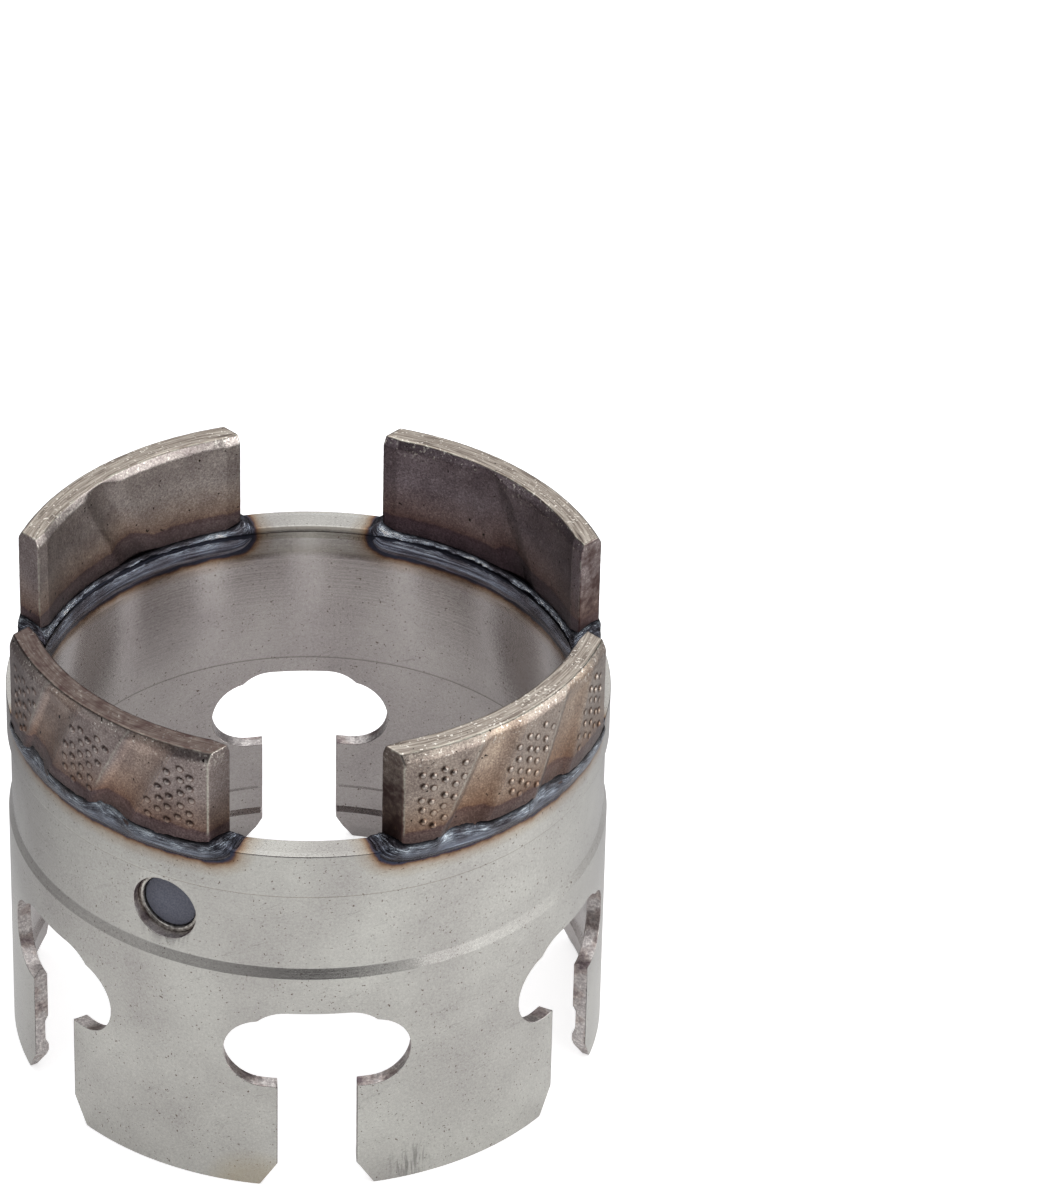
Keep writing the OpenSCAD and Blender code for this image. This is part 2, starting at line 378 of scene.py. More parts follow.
    # A dried yellowish stain at the foot of one tongue, and a grey smear of wipes 0.3 mm
    # wide on the next
    from_stain = add(tree, "ShaderNodeVectorMath", {"operation": "DISTANCE"}, {0: mm, 1: STAIN_AT})
    blot = add(tree, "ShaderNodeMapRange", {}, {0: from_stain.outputs["Value"], 1: 4.6, 2: 2.2})
    stain = add(tree, "ShaderNodeMath", {"operation": "MULTIPLY"}, {0: blot, 1: cloud})
    stained = add(tree, "ShaderNodeMix", {"data_type": "RGBA"},
                  {0: stain, 6: scratched.outputs["Result"], 7: "#b3a483"})
    from_smear = add(tree, "ShaderNodeVectorMath", {"operation": "DISTANCE"}, {0: mm, 1: SMEAR_AT})
    smear_near = add(tree, "ShaderNodeMapRange", {}, {0: from_smear.outputs["Value"], 1: 2.6, 2: 0.8})
    upright = add(tree, "ShaderNodeVectorMath", {"operation": "MULTIPLY"}, {0: mm, 1: (3.5, 3.5, 0.5)})
    wipes = add(tree, "ShaderNodeTexNoise", {}, {"Vector": upright, "Scale": 1.0, "Detail": 3.0})
    wipe = add(tree, "ShaderNodeMapRange", {}, {0: wipes, 1: 0.5, 2: 0.62, 3: 0.0, 4: 0.6})
    smear = add(tree, "ShaderNodeMath", {"operation": "MULTIPLY"}, {0: smear_near, 1: wipe})
    smeared = add(tree, "ShaderNodeMix", {"data_type": "RGBA"},
                  {0: smear, 6: stained.outputs["Result"], 7: "#757370"})

    # Heat colours by distance from the beads, with an edge that wanders in lobes of 1 mm
    gap = add(tree, "ShaderNodeAttribute", {"attribute_name": "past_weld"}).outputs["Fac"]
    wander = add(tree, "ShaderNodeTexNoise", {}, {"Vector": mm, "Scale": 0.9, "Detail": 3.0})
    tint_at = add(tree, "ShaderNodeMath", {"operation": "MULTIPLY_ADD"}, {0: wander, 1: 0.5, 2: gap})
    bands = add(tree, "ShaderNodeMapRange", {}, {0: tint_at, 1: 0.1, 2: 2.0})
    tint = add(tree, "ShaderNodeValToRGB", {"stops": [
        (0.0, "#50566c"), (0.06, "#6b5c69"), (0.12, "#a2806a"), (0.2, "#d0b49d"),
        (0.4, "#eee5db"), (0.85, "#ffffff")]}, {0: bands})
    tinted = add(tree, "ShaderNodeMix", {"data_type": "RGBA", "blend_type": "MULTIPLY"},
                 {0: 1.0, 6: smeared.outputs["Result"], 7: tint.outputs[0]})

    gloss = add(tree, "ShaderNodeMapRange", {}, {0: grain, 1: 0.3, 2: 0.7, 3: 0.17, 4: 0.22})
    relief = add(tree, "ShaderNodeMath", {"operation": "MULTIPLY_ADD"}, {0: lines, 1: 1.4, 2: grain})
    bump = add(tree, "ShaderNodeBump", {}, {"Strength": 0.18, "Distance": 0.00003, "Height": relief})
    # The tangent runs round the axis, tipped a little so that it is square to no flat face
    round_axis = add(tree, "ShaderNodeVectorMath", {"operation": "CROSS_PRODUCT"}, {0: (0, 0, 0.04), 1: mm})
    tangent = add(tree, "ShaderNodeVectorMath", {"operation": "ADD"},
                  {0: round_axis, 1: (0.13, 0.07, 0.11)})
    shader = add(tree, "ShaderNodeBsdfPrincipled", {}, {
        "Base Color": tinted.outputs["Result"], "Metallic": 1.0, "Roughness": gloss, "Normal": bump,
        "Anisotropic": 0.8, "Anisotropic Rotation": 0.25, "Tangent": tangent})
    add(tree, "ShaderNodeOutputMaterial", {}, {0: shader})
    return material


def milled_edge():
    """The same steel where a cutter went through it. It reads as a matt pinkish grey with
    coarse bright grains and purple brown smudges."""
    material, tree = new_material("milled_steel_edge")
    mm = millimetres(tree)
    # Grains of about 0.1 mm, drawn at 0.25 mm so that they show, and smudges of 2 mm
    grains = add(tree, "ShaderNodeTexNoise", {},
                 {"Vector": mm, "Scale": 4.0, "Detail": 4.0, "Roughness": 0.7})
    base = add(tree, "ShaderNodeValToRGB", {"stops": [
        (0.3, "#979090"), (0.5, "#c6c0be"), (0.68, "#f2eeea")]}, {0: grains})
    smudges = add(tree, "ShaderNodeTexNoise", {}, {"Vector": mm, "Scale": 0.45, "Detail": 3.0})
    smudge = add(tree, "ShaderNodeValToRGB", {"stops": [
        (0.34, "#a89ca2"), (0.44, "#ece5e2"), (0.52, "#ffffff")]}, {0: smudges})
    dulled = add(tree, "ShaderNodeMix", {"data_type": "RGBA", "blend_type": "MULTIPLY"},
                 {0: 1.0, 6: base.outputs[0], 7: smudge.outputs[0]})
    bump = add(tree, "ShaderNodeBump", {}, {"Strength": 0.5, "Distance": 0.00006, "Height": grains})
    shader = add(tree, "ShaderNodeBsdfPrincipled", {}, {
        "Base Color": dulled.outputs["Result"], "Metallic": 1.0, "Roughness": 0.45, "Normal": bump})
    add(tree, "ShaderNodeOutputMaterial", {}, {0: shader})
    return material


def sintered_segment():
    """Hot-pressed metal powder with diamond grit, tinted by the weld. It reads as a grainy
    brown grey with bright grains, coarse grinding lines on top, browner flutes, a purple
    brown foot with a sharp upper edge and a fading orange brown above it."""
    material, tree = new_material("sintered_diamond_segment")
    mm = millimetres(tree)
    # Powder grains of about 0.1 mm, drawn at 0.18 mm so that they show, in patches of 3 mm
    grit = add(tree, "ShaderNodeTexNoise", {},
               {"Vector": mm, "Scale": 5.5, "Detail": 3.0, "Roughness": 0.85})
    patch = add(tree, "ShaderNodeTexNoise", {}, {"Vector": mm, "Scale": 0.35, "Detail": 2.0})
    mixed = add(tree, "ShaderNodeMath", {"operation": "MULTIPLY_ADD"}, {0: patch, 1: 0.35, 2: grit})
    tone = add(tree, "ShaderNodeMapRange", {}, {0: mixed, 1: 0.4, 2: 0.95})
    base = add(tree, "ShaderNodeValToRGB", {"stops": [
        (0.1, "#8d8381"), (0.4, "#aea5a1"), (0.62, "#cbc3bd"), (0.9, "#f4efe7")]}, {0: tone})

    # Flutes keep the brown of the furnace, and their right wall is darkened as painted shade. The light
    # left lip is a painted highlight added with the wear below
    share = add(tree, "ShaderNodeAttribute", {"attribute_name": "flute"}).outputs["Fac"]
    fluted = add(tree, "ShaderNodeValToRGB", {"stops": [
        (0.0, "#ebe9e9"), (0.04, "#ebe9e9"), (0.12, "#f8efe8"), (0.5, "#fff4ea"), (0.8, "#e0d4cc"),
        (0.92, "#e2dad4"), (1.0, "#ebe9e9")]}, {0: share})
    browned = add(tree, "ShaderNodeMix", {"data_type": "RGBA", "blend_type": "MULTIPLY"},
                  {0: 1.0, 6: base.outputs[0], 7: fluted.outputs[0]})

    # Each face has its own cast, partly tint from the furnace and partly painted light that makes it
    # lighter or darker. The diamonds have painted shade round their feet, painted highlights on their caps
    # and a painted shadow behind their upper left side
    cast = add(tree, "ShaderNodeAttribute", {"attribute_name": "cast"}).outputs["Color"]
    warmed_and_lit = add(tree, "ShaderNodeMix", {"data_type": "RGBA", "blend_type": "MULTIPLY"},
                 {0: 1.0, 6: browned.outputs["Result"], 7: cast})
    nub = add(tree, "ShaderNodeAttribute", {"attribute_name": "nub"}).outputs["Fac"]
    rim = add(tree, "ShaderNodeValToRGB", {"stops": [
        (0.0, "#ffffff"), (0.08, "#c4b9b3"), (0.3, "#d0c6c0"), (0.55, "#ffffff")]}, {0: nub})
    feet_shaded = add(tree, "ShaderNodeMix", {"data_type": "RGBA", "blend_type": "MULTIPLY"},
                 {0: 1.0, 6: warmed_and_lit.outputs["Result"], 7: rim.outputs[0]})
    cap_highlight = add(tree, "ShaderNodeMapRange", {}, {0: nub, 1: 0.3, 2: 0.8, 3: 0.0, 4: 0.25})
    bright = add(tree, "ShaderNodeMix", {"data_type": "RGBA"},
                 {0: cap_highlight, 6: feet_shaded.outputs["Result"], 7: "#e6dfd6"})
    binder = add(tree, "ShaderNodeAttribute", {"attribute_name": "binder"}).outputs["Fac"]
    shaded = add(tree, "ShaderNodeMapRange", {}, {0: binder, 1: 0.0, 2: 0.5, 3: 0.0, 4: 0.8})
    capped = add(tree, "ShaderNodeMix", {"data_type": "RGBA", "blend_type": "MULTIPLY"},
                 {0: shaded, 6: bright.outputs["Result"], 7: "#6b5e59"})

    # Coarse lines that the grinding left along the top, 0.2 mm wide and 3 mm long, by place
    # along and through the wall
    place = add(tree, "ShaderNodeAttribute", {"attribute_name": "along"}).outputs["Vector"]
    ground_at = add(tree, "ShaderNodeVectorMath", {"operation": "MULTIPLY"}, {0: place, 1: (0.3, 5.0, 0.0)})
    ground = add(tree, "ShaderNodeTexNoise", {}, {"Vector": ground_at, "Scale": 1.0, "Detail": 6.0,
                                                  "Roughness": 0.7, "Distortion": 0.1})
    parts = add(tree, "ShaderNodeSeparateXYZ", {}, {0: place})
    on_top = add(tree, "ShaderNodeMapRange", {},
                 {0: parts.outputs["Z"], 1: SEG_TOP - 0.15, 2: SEG_TOP - 0.04})
    lines = add(tree, "ShaderNodeValToRGB", {"stops": [
        (0.3, "#463e38"), (0.4, "#7e736a"), (0.5, "#a59b90"), (0.65, "#cfc7bb")]}, {0: ground})
    topped = add(tree, "ShaderNodeMix", {"data_type": "RGBA"},
                 {0: on_top, 6: capped.outputs["Result"], 7: lines.outputs[0]})

    gap = add(tree, "ShaderNodeAttribute", {"attribute_name": "past_weld"}).outputs["Fac"]
    wander = add(tree, "ShaderNodeTexNoise", {}, {"Vector": mm, "Scale": 1.0, "Detail": 4.0})
    tint_at = add(tree, "ShaderNodeMath", {"operation": "MULTIPLY_ADD"}, {0: wander, 1: 0.5, 2: gap})
    bands = add(tree, "ShaderNodeMapRange", {}, {0: tint_at, 1: -1.5, 2: 5.0})
    tint = add(tree, "ShaderNodeValToRGB", {"stops": [
        (0.0, "#80777b"), (0.2, "#a6999d"), (0.265, "#9e8c90"), (0.3, "#cfb8aa"),
        (0.45, "#efe1d5"), (0.85, "#ffffff")]}, {0: bands})
    tinted = add(tree, "ShaderNodeMix", {"data_type": "RGBA", "blend_type": "MULTIPLY"},
                 {0: 1.0, 6: topped.outputs["Result"], 7: tint.outputs[0]})

    # Worn edges with a painted highlight along the left lips of the flutes, pores of 0.4 mm,
    # white grit of 0.3 mm that broke out of the top in places, and soot
    wear = add(tree, "ShaderNodeAttribute", {"attribute_name": "wear"}).outputs["Fac"]
    uneven = add(tree, "ShaderNodeMapRange", {}, {0: grit, 1: 0.35, 2: 0.55, 3: 0.3, 4: 1.0})
    rubbed_and_lit = add(tree, "ShaderNodeMath", {"operation": "MULTIPLY"}, {0: wear, 1: uneven})
    worn_and_lit = add(tree, "ShaderNodeMix", {"data_type": "RGBA"},
               {0: rubbed_and_lit, 6: tinted.outputs["Result"], 7: "#cccdbe"})
    holes = add(tree, "ShaderNodeTexNoise", {}, {"Vector": mm, "Scale": 2.3, "Detail": 1.0})
    hole = add(tree, "ShaderNodeMapRange", {}, {0: holes, 1: 0.73, 2: 0.77})
    pored = add(tree, "ShaderNodeMix", {"data_type": "RGBA"},
                {0: hole, 6: worn_and_lit.outputs["Result"], 7: "#2c2522"})
    broken = add(tree, "ShaderNodeTexNoise", {}, {"Vector": mm, "Scale": 3.6, "Detail": 2.0})
    above = add(tree, "ShaderNodeMapRange", {},
                {0: parts.outputs["Z"], 1: SEG_TOP - 1.8, 2: SEG_TOP - 0.2})
    where_broken = add(tree, "ShaderNodeMath", {"operation": "MULTIPLY_ADD"}, {0: patch, 1: 0.3, 2: broken})
    chips = add(tree, "ShaderNodeMapRange", {}, {0: where_broken, 1: 0.785, 2: 0.825})
    chip = add(tree, "ShaderNodeMath", {"operation": "MULTIPLY"}, {0: chips, 1: above})
    chipped = add(tree, "ShaderNodeMix", {"data_type": "RGBA"},
                  {0: chip, 6: pored.outputs["Result"], 7: "#efeae0"})
    soot = add(tree, "ShaderNodeAttribute", {"attribute_name": "soot"}).outputs["Fac"]
    sooty = add(tree, "ShaderNodeMix", {"data_type": "RGBA"},
                {0: soot, 6: chipped.outputs["Result"], 7: "#4e3b38"})
    relief = add(tree, "ShaderNodeMix", {"data_type": "FLOAT"}, {0: on_top, 2: grit, 3: ground})
    bump = add(tree, "ShaderNodeBump", {},
               {"Strength": 0.5, "Distance": 0.00005, "Height": relief.outputs[0]})
    shader = add(tree, "ShaderNodeBsdfPrincipled", {}, {
        "Base Color": sooty.outputs["Result"], "Metallic": 1.0, "Roughness": 0.31, "Normal": bump})
    add(tree, "ShaderNodeOutputMaterial", {}, {0: shader})
    return material


def weld_metal():
    """Laser-welded steel under its own oxide. It reads as blue-black glass with streaks
    along the seam, a blue to brown edge at the toe and bluish white glints on the ripples."""
    material, tree = new_material("oxidised_weld_metal")
    along = add(tree, "ShaderNodeAttribute", {"attribute_name": "along"}).outputs["Vector"]
    # Streaks 6 mm long on the lower half and ripples 0.9 mm long on the upper one. They
    # are 0.1 to 0.2 mm wide and drawn up to 0.28 mm wide so that they show
    streak_at = add(tree, "ShaderNodeVectorMath", {"operation": "MULTIPLY"},
                    {0: along, 1: (0.16, 3.6, 1.0)})
    streaks = add(tree, "ShaderNodeTexNoise", {},
                  {"Vector": streak_at, "Scale": 1.0, "Detail": 6.0, "Roughness": 0.65})
    rough_at = add(tree, "ShaderNodeVectorMath", {"operation": "MULTIPLY"}, {0: along, 1: (1.1, 4.6, 1.0)})
    crust = add(tree, "ShaderNodeTexNoise", {},
                {"Vector": rough_at, "Scale": 1.0, "Detail": 6.0, "Roughness": 0.75})
    parts = add(tree, "ShaderNodeSeparateXYZ", {}, {0: along})
    across = add(tree, "ShaderNodeMapRange", {}, {0: parts.outputs["Y"], 1: 1.1, 2: 2.0})
    rough = add(tree, "ShaderNodeMix", {"data_type": "FLOAT"}, {0: across, 2: streaks, 3: crust})
    patch_at = add(tree, "ShaderNodeVectorMath", {"operation": "MULTIPLY"}, {0: along, 1: (0.35, 0.5, 1.0)})
    patch = add(tree, "ShaderNodeTexNoise", {}, {"Vector": patch_at, "Scale": 1.0, "Detail": 1.0})
    lift = add(tree, "ShaderNodeMapRange", {}, {0: patch, 1: 0.35, 2: 0.65, 3: -0.1, 4: 0.08})
    lit = add(tree, "ShaderNodeMath", {"operation": "ADD"}, {0: crust, 1: lift})
    smooth = add(tree, "ShaderNodeValToRGB", {"stops": [
        (0.3, "#36343a"), (0.43, "#595960"), (0.52, "#7d8089"), (0.6, "#8f959e"),
        (0.72, "#ccd5dc")]}, {0: streaks})
    rippled = add(tree, "ShaderNodeValToRGB", {"stops": [
        (0.3, "#2a2a30"), (0.44, "#585a62"), (0.54, "#868d97"), (0.62, "#c4ced6"),
        (0.7, "#eaf2f5")]}, {0: lit})
    base = add(tree, "ShaderNodeMix", {"data_type": "RGBA"},
               {0: across, 6: smooth.outputs[0], 7: rippled.outputs[0]})
    edge = add(tree, "ShaderNodeMapRange", {}, {0: parts.outputs["Y"], 1: 0.0, 2: 3.0})
    tint = add(tree, "ShaderNodeValToRGB", {"stops": [
        (0.0, "#7878a8"), (0.07, "#8d8494"), (0.14, "#b3a8a3"), (0.25, "#d6dae4"),
        (0.8, "#ffffff"), (0.95, "#3d3b3e")]}, {0: edge})
    tinted = add(tree, "ShaderNodeMix", {"data_type": "RGBA", "blend_type": "MULTIPLY"},
                 {0: 1.0, 6: base.outputs["Result"], 7: tint.outputs[0]})
    # The bead inside the ring kept a thinner and lighter oxide
    flat = add(tree, "ShaderNodeVectorMath", {"operation": "MULTIPLY"},
               {0: millimetres(tree), 1: (1.0, 1.0, 0.0)})
    radius = add(tree, "ShaderNodeVectorMath", {"operation": "LENGTH"}, {0: flat}).outputs["Value"]
    thinner = add(tree, "ShaderNodeMapRange", {}, {0: radius, 1: 23.4, 2: 24.6, 3: 1.9, 4: 1.0})
    scaled = add(tree, "ShaderNodeVectorMath", {"operation": "SCALE"},
                 {0: tinted.outputs["Result"], "Scale": thinner})
    lighter = add(tree, "ShaderNodeVectorMath", {"operation": "MINIMUM"}, {0: scaled, 1: (0.9, 0.9, 0.9)})
    # Brown where the oxide is thick, and black in the hollows of the ends
    browner = add(tree, "ShaderNodeMapRange", {}, {0: patch, 1: 0.5, 2: 0.35, 3: 0.0, 4: 0.5})
    browned = add(tree, "ShaderNodeMix", {"data_type": "RGBA", "blend_type": "MULTIPLY"},
                  {0: browner, 6: lighter, 7: "#b3968b"})
    ends = add(tree, "ShaderNodeAttribute", {"attribute_name": "burnt"}).outputs["Fac"]
    hollow = add(tree, "ShaderNodeMapRange", {}, {0: crust, 1: 0.58, 2: 0.44, 3: 0.0, 4: 0.85})
    burnt = add(tree, "ShaderNodeMath", {"operation": "MULTIPLY"}, {0: ends, 1: hollow})
    blacked = add(tree, "ShaderNodeMix", {"data_type": "RGBA"},
                  {0: burnt, 6: browned.outputs["Result"], 7: "#1f1d22"})
    # Pores of under 0.1 mm, more of them near the upper edge
    pores_at = add(tree, "ShaderNodeVectorMath", {"operation": "MULTIPLY"}, {0: along, 1: (3.2, 3.2, 1.0)})
    pores = add(tree, "ShaderNodeTexNoise", {}, {"Vector": pores_at, "Scale": 5.0, "Detail": 1.0})
    near_top = add(tree, "ShaderNodeMapRange", {}, {0: parts.outputs["Y"], 1: 1.8, 2: 2.6, 3: 0.74, 4: 0.6})
    pore = add(tree, "ShaderNodeMath", {"operation": "GREATER_THAN"}, {0: pores, 1: near_top})
    pored = add(tree, "ShaderNodeMix", {"data_type": "RGBA"},
                {0: pore, 6: blacked.outputs["Result"], 7: "#17171a"})
    bump = add(tree, "ShaderNodeBump", {},
               {"Strength": 1.0, "Distance": 0.00012, "Height": rough.outputs[0]})
    shader = add(tree, "ShaderNodeBsdfPrincipled", {}, {
        "Base Color": pored.outputs["Result"], "Metallic": 1.0, "Roughness": 0.27, "Normal": bump})
    add(tree, "ShaderNodeOutputMaterial", {}, {0: shader})
    return material


def bright_sleeve():
    """Turned stainless steel. It reads as a bright line with fine turning marks."""
    material, tree = new_material("turned_stainless_sleeve")
    # Turning marks of under 0.1 mm, drawn at 0.33 mm so that they show
    marks = add(tree, "ShaderNodeTexNoise", {}, {"Vector": millimetres(tree), "Scale": 3.0, "Detail": 3.0})
    base = add(tree, "ShaderNodeValToRGB", {"stops": [(0.4, "#8f8a84"), (0.6, "#cbc8c0")]}, {0: marks})
    bump = add(tree, "ShaderNodeBump", {}, {"Strength": 0.3, "Distance": 0.00004, "Height": marks})
    shader = add(tree, "ShaderNodeBsdfPrincipled", {}, {
        "Base Color": base.outputs[0], "Metallic": 1.0, "Roughness": 0.3, "Normal": bump})
    add(tree, "ShaderNodeOutputMaterial", {}, {0: shader})
    return material


def slate_disc():
    """Moulded filled resin. It reads as a matt blue grey with a fine even grain."""
    material, tree = new_material("moulded_resin_disc")
    # Filler grain of under 0.1 mm, drawn at 0.14 mm so that it shows
    grain = add(tree, "ShaderNodeTexNoise", {}, {"Vector": millimetres(tree), "Scale": 7.0, "Detail": 3.0})
    base = add(tree, "ShaderNodeValToRGB", {"stops": [(0.35, "#737685"), (0.65, "#8d91a0")]}, {0: grain})
    bump = add(tree, "ShaderNodeBump", {}, {"Strength": 0.3, "Distance": 0.00003, "Height": grain})
    shader = add(tree, "ShaderNodeBsdfPrincipled", {}, {
        "Base Color": base.outputs[0], "Metallic": 0.0, "Roughness": 0.55, "Normal": bump})
    add(tree, "ShaderNodeOutputMaterial", {}, {0: shader})
    return material


# Ring

def turned_blank():
    """The ring before its keyholes are milled, as a profile spun round the axis. Each
    corner has its radius, its height and the ease on it."""
    groove_r = SOCKET_R + GROOVE_DEPTH
    profile = [
        (SOCKET_R + FOOT_BEVEL, 0, 0.06), (BODY_R, 0, 0.08), (BODY_R, RELIEF_Z, 0.04),
        (RELIEF_R, RELIEF_Z + RELIEF_BEVEL, 0.04), (RELIEF_R, LAND_Z, 0.04), (BODY_R, LAND_Z, 0.04),
        (BODY_R, RIM_Z, 0.06), (GROUND_R + RIM_CHAMFER, RIM_Z, 0.04),
        (GROUND_R, RIM_Z - RIM_CHAMFER, 0.04), (GROUND_R, GROUND_Z + GROUND_SLOPE, 0),
        (BORE_R, GROUND_Z - GROUND_SLOPE, 0), (BORE_R, SOCKET_Z, 0.08), (SOCKET_R, SOCKET_Z, 0.04),
        (SOCKET_R, GROOVE_HIGH_Z + GROOVE_SLOPE, 0.04), (groove_r, GROOVE_HIGH_Z, 0.04),
        (groove_r, GROOVE_LOW_Z, 0.04), (SOCKET_R, GROOVE_LOW_Z - GROOVE_SLOPE, 0.04),
        (SOCKET_R, FOOT_BEVEL_H, 0.04),
    ]
    bm = bmesh.new()
    corners = [bm.verts.new((r, 0, z)) for r, z, ease in profile]
    for a, b in zip(corners, corners[1:] + corners[:1]):
        bm.edges.new((a, b))
    for size in sorted({ease for r, z, ease in profile if ease}):
        eased = [v for v, (r, z, ease) in zip(corners, profile) if ease == size]
        bmesh.ops.bevel(bm, geom=eased, offset=size, offset_type="OFFSET", affect="VERTICES",
                        segments=2, profile=0.5, material=-1)
    bmesh.ops.spin(bm, geom=bm.verts[:] + bm.edges[:], cent=(0, 0, 0), axis=(0, 0, 1),
                   angle=2 * math.pi, steps=RING_STEPS, use_merge=True)
    # Rows near the rim carry the heat colours
    z = LAND_Z + TINT_ROW
    while z < RIM_Z:
        bmesh.ops.bisect_plane(bm, geom=bm.verts[:] + bm.edges[:] + bm.faces[:], dist=1e-5,
                               plane_co=(0, 0, z), plane_no=(0, 0, 1))
        z += TINT_ROW
    bmesh.ops.remove_doubles(bm, verts=bm.verts, dist=1e-4)
    bmesh.ops.recalc_face_normals(bm, faces=bm.faces)
    return bm


def keyhole_outline():
    """Right half of a keyhole from its mouth up, then its mirror image back down."""
    def arc(x, z, start, stop, steps):
        turns = [math.radians(start + (stop - start) * i / steps) for i in range(steps + 1)]
        return [(x + CUTTER_R * math.cos(t), z + CUTTER_R * math.sin(t)) for t in turns]
    gap = math.hypot(HEAD_REACH - CROWN_REACH, CROWN_Z - HEAD_Z) / 2
    middle = ((HEAD_REACH + CROWN_REACH) / 2, (HEAD_Z + CROWN_Z) / 2)
    chord = math.sqrt(CUTTER_R ** 2 - gap ** 2) / (2 * gap)
    cusp = (middle[0] + chord * (CROWN_Z - HEAD_Z), middle[1] + chord * (HEAD_REACH - CROWN_REACH))
    low = math.degrees(math.atan2(cusp[1] - HEAD_Z, cusp[0] - HEAD_REACH))
    high = math.degrees(math.atan2(cusp[1] - CROWN_Z, cusp[0] - CROWN_REACH))
    slope = MOUTH_W / MOUTH_H
    half = [(SLOT_HALF + MOUTH_W + slope, -1.0), (SLOT_HALF, MOUTH_H), (SLOT_HALF, HEAD_Z - CUTTER_R)]
    half += arc(HEAD_REACH, HEAD_Z, -90, low, 20)
    half += arc(CROWN_REACH, CROWN_Z, high, 90, 6)
    return half + [(-x, z) for x, z in reversed(half)]


def milling_cutters():
    """All that is milled out of the blank, as one mesh."""
    bm = bmesh.new()
    for i in range(KEY_COUNT):
        rim = [bm.verts.new((CUT_FROM_R, x, z)) for x, z in keyhole_outline()]
        face = bm.faces.new(rim)
        grown = bmesh.ops.extrude_face_region(bm, geom=[face])["geom"]
        moved = [v for v in grown if isinstance(v, bmesh.types.BMVert)]
        bmesh.ops.translate(bm, verts=moved, vec=(CUT_LENGTH, 0, 0))
        bmesh.ops.transform(bm, verts=moved + rim, matrix=place_of(i * 360 / KEY_COUNT))
    bore_at = place_of(POCKET_TURN) @ Matrix.Translation((RELIEF_R - POCKET_DEPTH + 2, 0, POCKET_Z))
    bmesh.ops.create_cone(bm, cap_ends=True, segments=96, radius1=POCKET_R, radius2=POCKET_R, depth=4,
                          matrix=bore_at @ Matrix.Rotation(math.pi / 2, 4, "Y"))
    bmesh.ops.recalc_face_normals(bm, faces=bm.faces)
    return bm


def mark_cut_walls(mesh):
    """Gives the second material to the walls of the keyholes and of the pocket, which are
    the faces that look neither out of the axis nor towards it."""
    middle = np.empty(len(mesh.polygons) * 3, np.float32)
    facing = np.empty_like(middle)
    mesh.polygons.foreach_get("center", middle)
    mesh.polygons.foreach_get("normal", facing)
    middle, facing = middle.reshape(-1, 3) / MM, facing.reshape(-1, 3)
    radius = np.hypot(middle[:, 0], middle[:, 1])
    radial = np.abs(facing[:, 0] * middle[:, 0] + facing[:, 1] * middle[:, 1]) / radius
    z = middle[:, 2]
    keyhole = (z > 0.3) & (z < CROWN_Z + CUTTER_R + 0.2)
    pocket = (np.abs(z - POCKET_Z) < POCKET_R + 0.1) & (radius > BORE_R + 0.2)
    cut = (radial < 0.5) & (keyhole | pocket)
    mesh.polygons.foreach_set("material_index", cut.astype(np.int32))


def build_ring(steel, milled):
    ring = finish_piece(turned_blank(), "ring", [steel, milled])
    cutters = finish_piece(milling_cutters(), "cutters", [])
    cut = ring.modifiers.new("milled", "BOOLEAN")
    cut.operation = "DIFFERENCE"
    cut.solver = "EXACT"
    cut.object = cutters
    settle(ring)
    bpy.data.objects.remove(cutters)
    burr = ring.modifiers.new("eased edges", "BEVEL")
    burr.width = 0.07 * MM
    burr.segments = 2
    burr.limit_method = "ANGLE"
    burr.angle_limit = math.radians(50)
    burr.use_clamp_overlap = False
    settle(ring)
    ring.data.shade_smooth()
    even = ring.modifiers.new("even shading", "WEIGHTED_NORMAL")
    even.weight = 90
    settle(ring)
    mark_cut_walls(ring.data)
    co = points_of(ring.data)
    inside = np.hypot(co[:, 0], co[:, 1]) < (BODY_R + BORE_R) / 2
    past_weld = np.where(inside, nearest_bead(co, TOE_IN_Z), nearest_bead(co, TOE_OUT_Z))
    write_attribute(ring.data, "past_weld", past_weld)
    return ring


# Segments

def block_lattice():
    """A closed block of even cells: x along the segment, y through its wall, z up."""
    sizes = (SEG_L, SEG_WALL, SEG_H)
    bm = bmesh.new()
    bmesh.ops.create_cube(bm, size=1)
    bmesh.ops.scale(bm, verts=bm.verts, vec=sizes)
    for axis, size in enumerate(sizes):
        across = [e for e in bm.edges if abs((e.verts[0].co - e.verts[1].co)[axis]) > size / 2]
        bmesh.ops.subdivide_edges(bm, edges=across, cuts=round(size / CELL) - 1, use_grid_fill=True)
    return bm


def flute_share(u, z, centre):
    """Place across a leaning flute, from 0 at its left edge to 1 at its right."""
    across = (u - centre - (z - SEG_MID_Z) * math.tan(FLUTE_LEAN)) * math.cos(FLUTE_LEAN)
    return 0.5 + 0.5 * across / FLUTE_HALF


def flute_depth(u, z, centres, depth, steep):
    """Depth of grooves that lean across a face, with a left wall of the given share of the
    width and a long rise to the right."""
    found = np.zeros_like(u)
    for centre in centres:
        share = np.clip(flute_share(u, z, centre), -1, 2)
        groove = soft_least(depth * (1 - np.maximum(share, 0) ** 4), depth * share / steep, 0.2 * depth)
        found = np.maximum(found, 0.5 * (groove + np.sqrt(groove ** 2 + 0.0004)))
    return found


def nub_places(seed):
    """Middles and sizes of the diamonds that show as nubs, in staggered columns."""
    random.seed(seed)
    places = []
    for first, columns, even, odd in NUB_PADS:
        for i in range(columns):
            u = first + NUB_ACROSS * i
            for j in range(NUB_ROWS):
                z = (odd if i % 2 else even) + NUB_UP * j
                lean = (z - SEG_MID_Z) * math.tan(FLUTE_LEAN)
                clear = min(abs(u - c - lean) * math.cos(FLUTE_LEAN) for c in OUT_FLUTES)
                if clear > FLUTE_HALF + 0.2 and z < NUB_TOP:
                    places.append((u + random.gauss(0, NUB_STRAY), z + random.gauss(0, NUB_STRAY),
                                   random.uniform(0.3, 1.0)))
    return places


